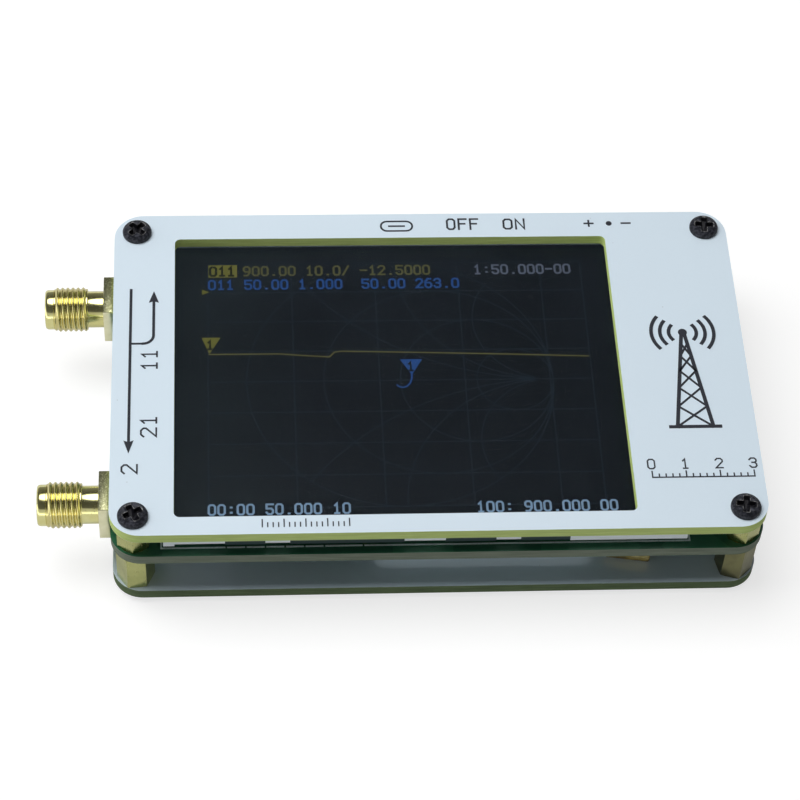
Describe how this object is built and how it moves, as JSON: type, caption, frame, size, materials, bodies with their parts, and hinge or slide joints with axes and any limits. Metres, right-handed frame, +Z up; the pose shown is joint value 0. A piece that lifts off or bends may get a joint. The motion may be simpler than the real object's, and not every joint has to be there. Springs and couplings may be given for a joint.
{
  "type": "antenna analyzer",
  "caption": "Pocket antenna analyzer: stacked circuit-board body with a touch screen, threaded coaxial jacks on one edge, charging socket, slide switch and three-way lever.",
  "frame": {"origin": "bottom centre of the bounding box, on the plane that the rear screw heads stand on", "axes": "+Z up out of the screen, -Y towards the user, +X to the user's right; the jacks point to -X"},
  "size_m": [0.095, 0.056, 0.0164],
  "materials": {
    "white_mask": "white solder mask over glass-fibre board, semi-gloss, yellow-green cut edges",
    "green_mask": "green solder mask over glass-fibre board, glossy",
    "black_steel": "blackened steel screw",
    "brass": "turned brass, satin",
    "gold_plate": "gold flash over brass, bright",
    "white_dielectric": "fluoropolymer insulator",
    "steel": "tinned or stainless sheet",
    "screen_frame": "white moulded frame",
    "screen_white": "light guide and diffuser",
    "screen_glass": "dark liquid crystal cell",
    "touch_glass": "clear touch layer with a grey cast",
    "black_tape": "black adhesive tape",
    "foam": "black foam pad",
    "polyimide": "amber polyimide film",
    "black_plastic": "black moulded plastic",
    "lever_plastic": "black moulded lever",
    "pouch": "silver laminated pouch",
    "adhesive": "white double-sided foam tape",
    "red_insulation": "red wire insulation",
    "black_insulation": "black wire insulation",
    "cream_plastic": "cream connector moulding",
    "chip_epoxy": "black moulded package with tinned legs",
    "capacitor": "tan ceramic chip",
    "resistor": "black glazed chip",
    "light": "clear light-emitting chip"
  },
  "bodies": {
    "housing": {"front_panel": "white_mask", "back_panel": "white_mask", "main_board": "green_mask", "front_screws": "black_steel", "back_screws": "black_steel", "upper_standoffs": "brass", "lower_standoffs": "brass", "lcd_frame": "screen_frame", "lcd_side_tapes": "black_tape", "lcd_backlight": "screen_white", "lcd_glass": "screen_glass", "touch_glass": "touch_glass", "lcd_foam_pads": "foam", "lcd_ribbon": "polyimide", "port_1_jack": "gold_plate", "port_1_insulator": "white_dielectric", "port_1_contact": "gold_plate", "port_2_jack": "gold_plate", "port_2_insulator": "white_dielectric", "port_2_contact": "gold_plate", "charge_socket_shell": "steel", "charge_socket_tongue": "black_plastic", "power_switch_case": "black_plastic", "power_switch_cover": "steel", "power_switch_legs": "steel", "jog_switch_case": "black_plastic", "jog_switch_cover": "steel", "jog_switch_legs": "steel", "cell": "pouch", "cell_tape": "adhesive", "cell_guard_board": "polyimide", "cell_tabs": "steel", "cell_lead_positive": "red_insulation", "cell_lead_negative": "black_insulation", "cell_socket": "cream_plastic", "cell_plug": "cream_plastic", "processor_chip": "chip_epoxy", "codec_chip": "chip_epoxy", "clock_chip": "chip_epoxy", "charger_chip": "chip_epoxy", "mixer_chips": "chip_epoxy", "crystals": "steel", "charger_inductor": "black_plastic", "status_lights": "light", "small_capacitors": "capacitor", "small_resistors": "resistor", "shield_cans": "steel"},
    "power_knob": {"power_switch_knob": "lever_plastic"},
    "plunger": {"jog_plunger": "black_plastic"},
    "lever": {"jog_lever": "lever_plastic"}
  },
  "joints": [
    {"name": "power_switch_slide", "type": "slide", "parent": "housing", "child": "power_knob", "axis": [-1, 0, 0], "range_m": [0, 0.002]},
    {"name": "jog_push", "type": "slide", "parent": "housing", "child": "plunger", "axis": [0, -1, 0], "range_m": [0, 0.00045], "stiffness_N_per_m": 1000, "springref_m": -0.0003},
    {"name": "jog_swing", "type": "hinge", "parent": "plunger", "child": "lever", "pos_m": [0.03092, 0.0235, 0.0075], "axis": [0, 0, 1], "range_deg": [-12, 12], "stiffness_Nm_per_rad": 0.01}
  ]
}
